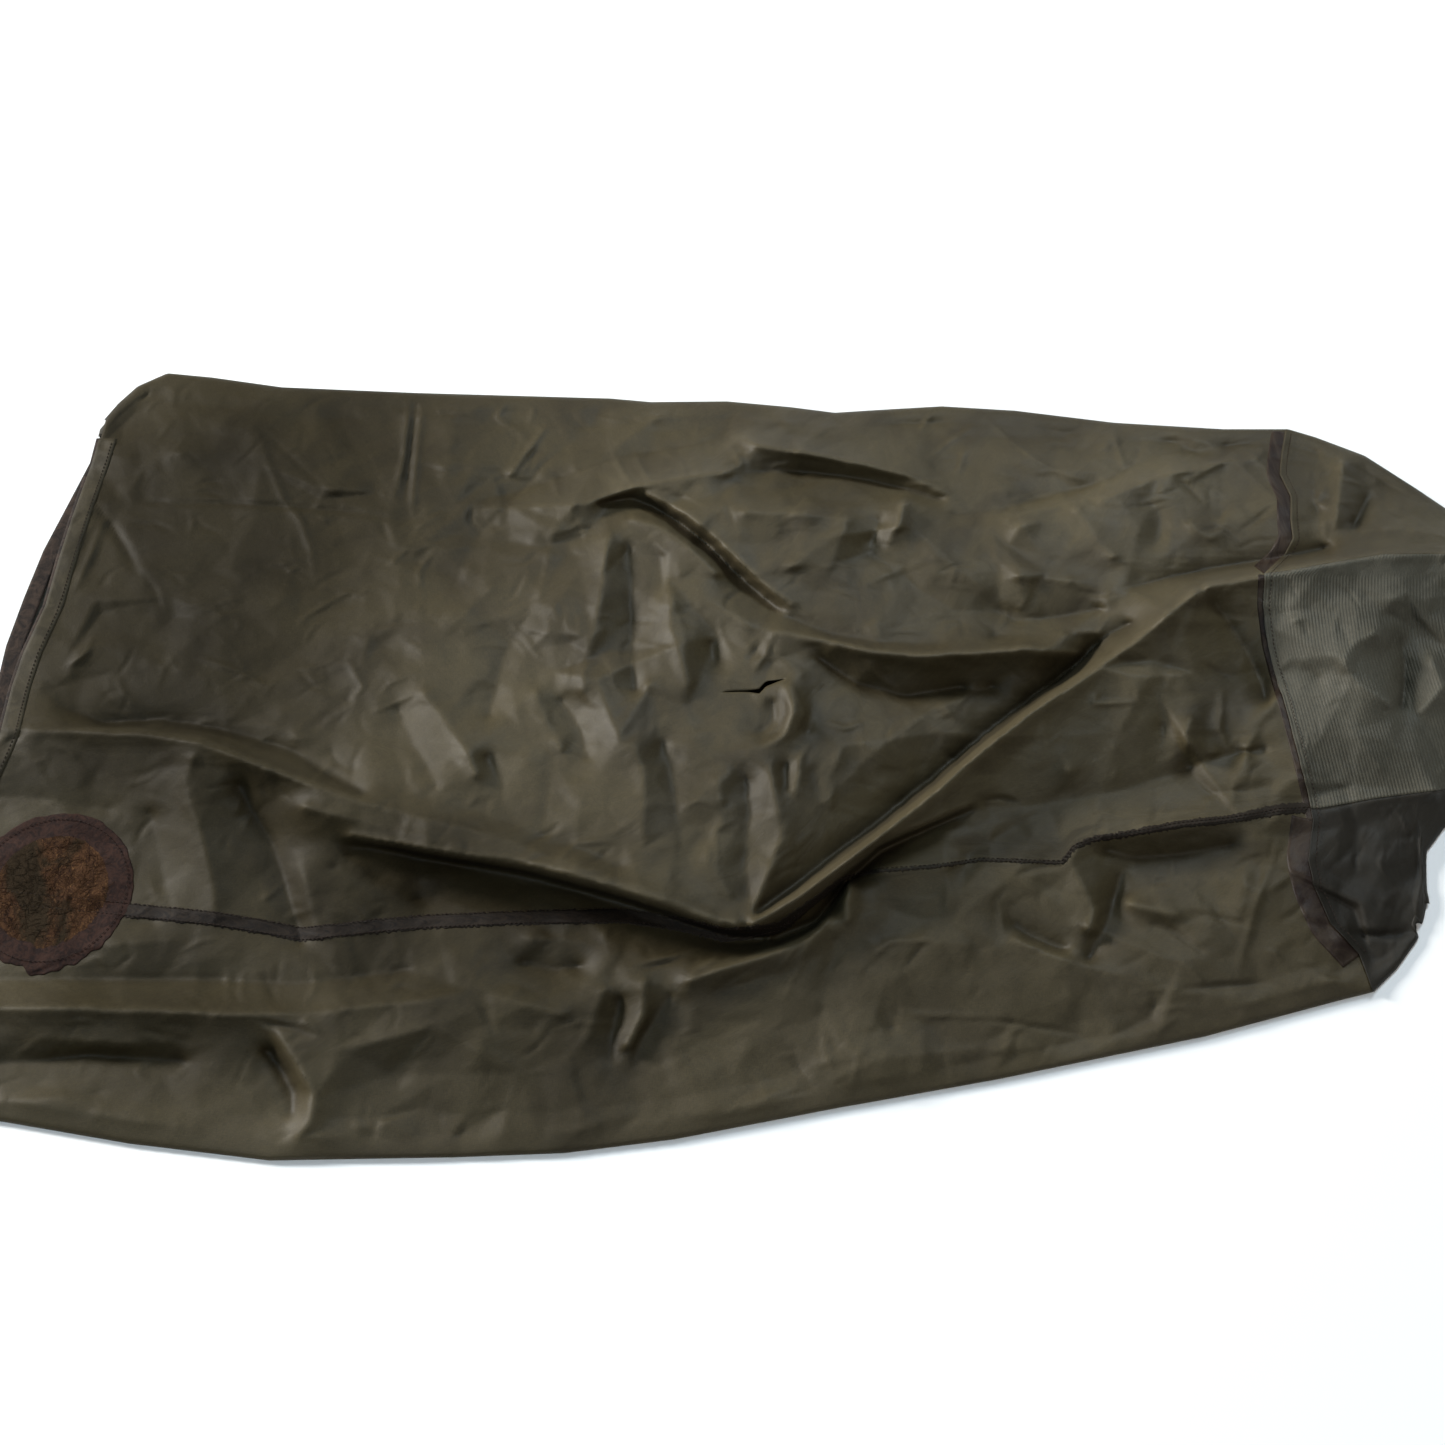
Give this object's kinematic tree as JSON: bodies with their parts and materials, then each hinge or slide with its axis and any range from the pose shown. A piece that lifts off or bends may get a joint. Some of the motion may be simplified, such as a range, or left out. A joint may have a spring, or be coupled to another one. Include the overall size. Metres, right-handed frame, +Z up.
{
  "type": "bivy sack",
  "caption": "Waterproof bivy sack lying slack on the ground: open mouth, taped long seam with a round patch, and a separate tapered foot section.",
  "frame": {"origin": "centre of the sack's footprint, on the ground", "axes": "+X from the open mouth to the foot, +Y to the far long edge, +Z up"},
  "size_m": [1.85, 0.9201, 0.085],
  "materials": {
    "olive_laminate": "coated nylon, soft sheen, crumpled",
    "ribbed_reinforcement": "ribbed coated fabric",
    "seam_tape": "matt brown seam tape",
    "thread": "tan sewing thread",
    "patch_rim": "dark red-brown heat-sealed rim",
    "patch_worn": "worn, fibrous tan-brown",
    "hem_binding": "turned hem, dark brown"
  },
  "bodies": {
    "bag": {"upper_sheet": "olive_laminate", "near_sheet": "olive_laminate", "lower_sheet": "olive_laminate", "long_seam_tape": "seam_tape", "long_seam_stitches": "thread", "cross_seam_tape_upper": "seam_tape", "cross_seam_tape_near": "seam_tape", "cross_seam_tape_lower": "seam_tape", "cross_seam_stitches": "thread", "foot_upper_sheet": "olive_laminate", "foot_ribbed_panel": "ribbed_reinforcement", "foot_near_sheet": "olive_laminate", "foot_lower_sheet": "olive_laminate", "foot_end_binding": "hem_binding"},
    "head_end": {"upper_sheet_head": "olive_laminate", "near_sheet_head": "olive_laminate", "lower_sheet_head": "olive_laminate", "mouth_hem_upper": "hem_binding", "hem_stitches_upper": "thread", "mouth_hem_lower": "hem_binding", "hem_stitches_lower": "thread", "mouth_inner_tape": "seam_tape", "long_seam_tape_head": "seam_tape", "long_seam_stitches_head": "thread", "round_patch_ring": "patch_rim", "round_patch_centre": "patch_worn", "round_patch_stitches": "thread"}
  },
  "joints": [
    {"name": "head_end_fold", "type": "hinge", "parent": "bag", "child": "head_end", "pos_m": [-0.455, 0, 0.0875], "axis": [0, 1, 0], "range_deg": [0, 165]}
  ]
}
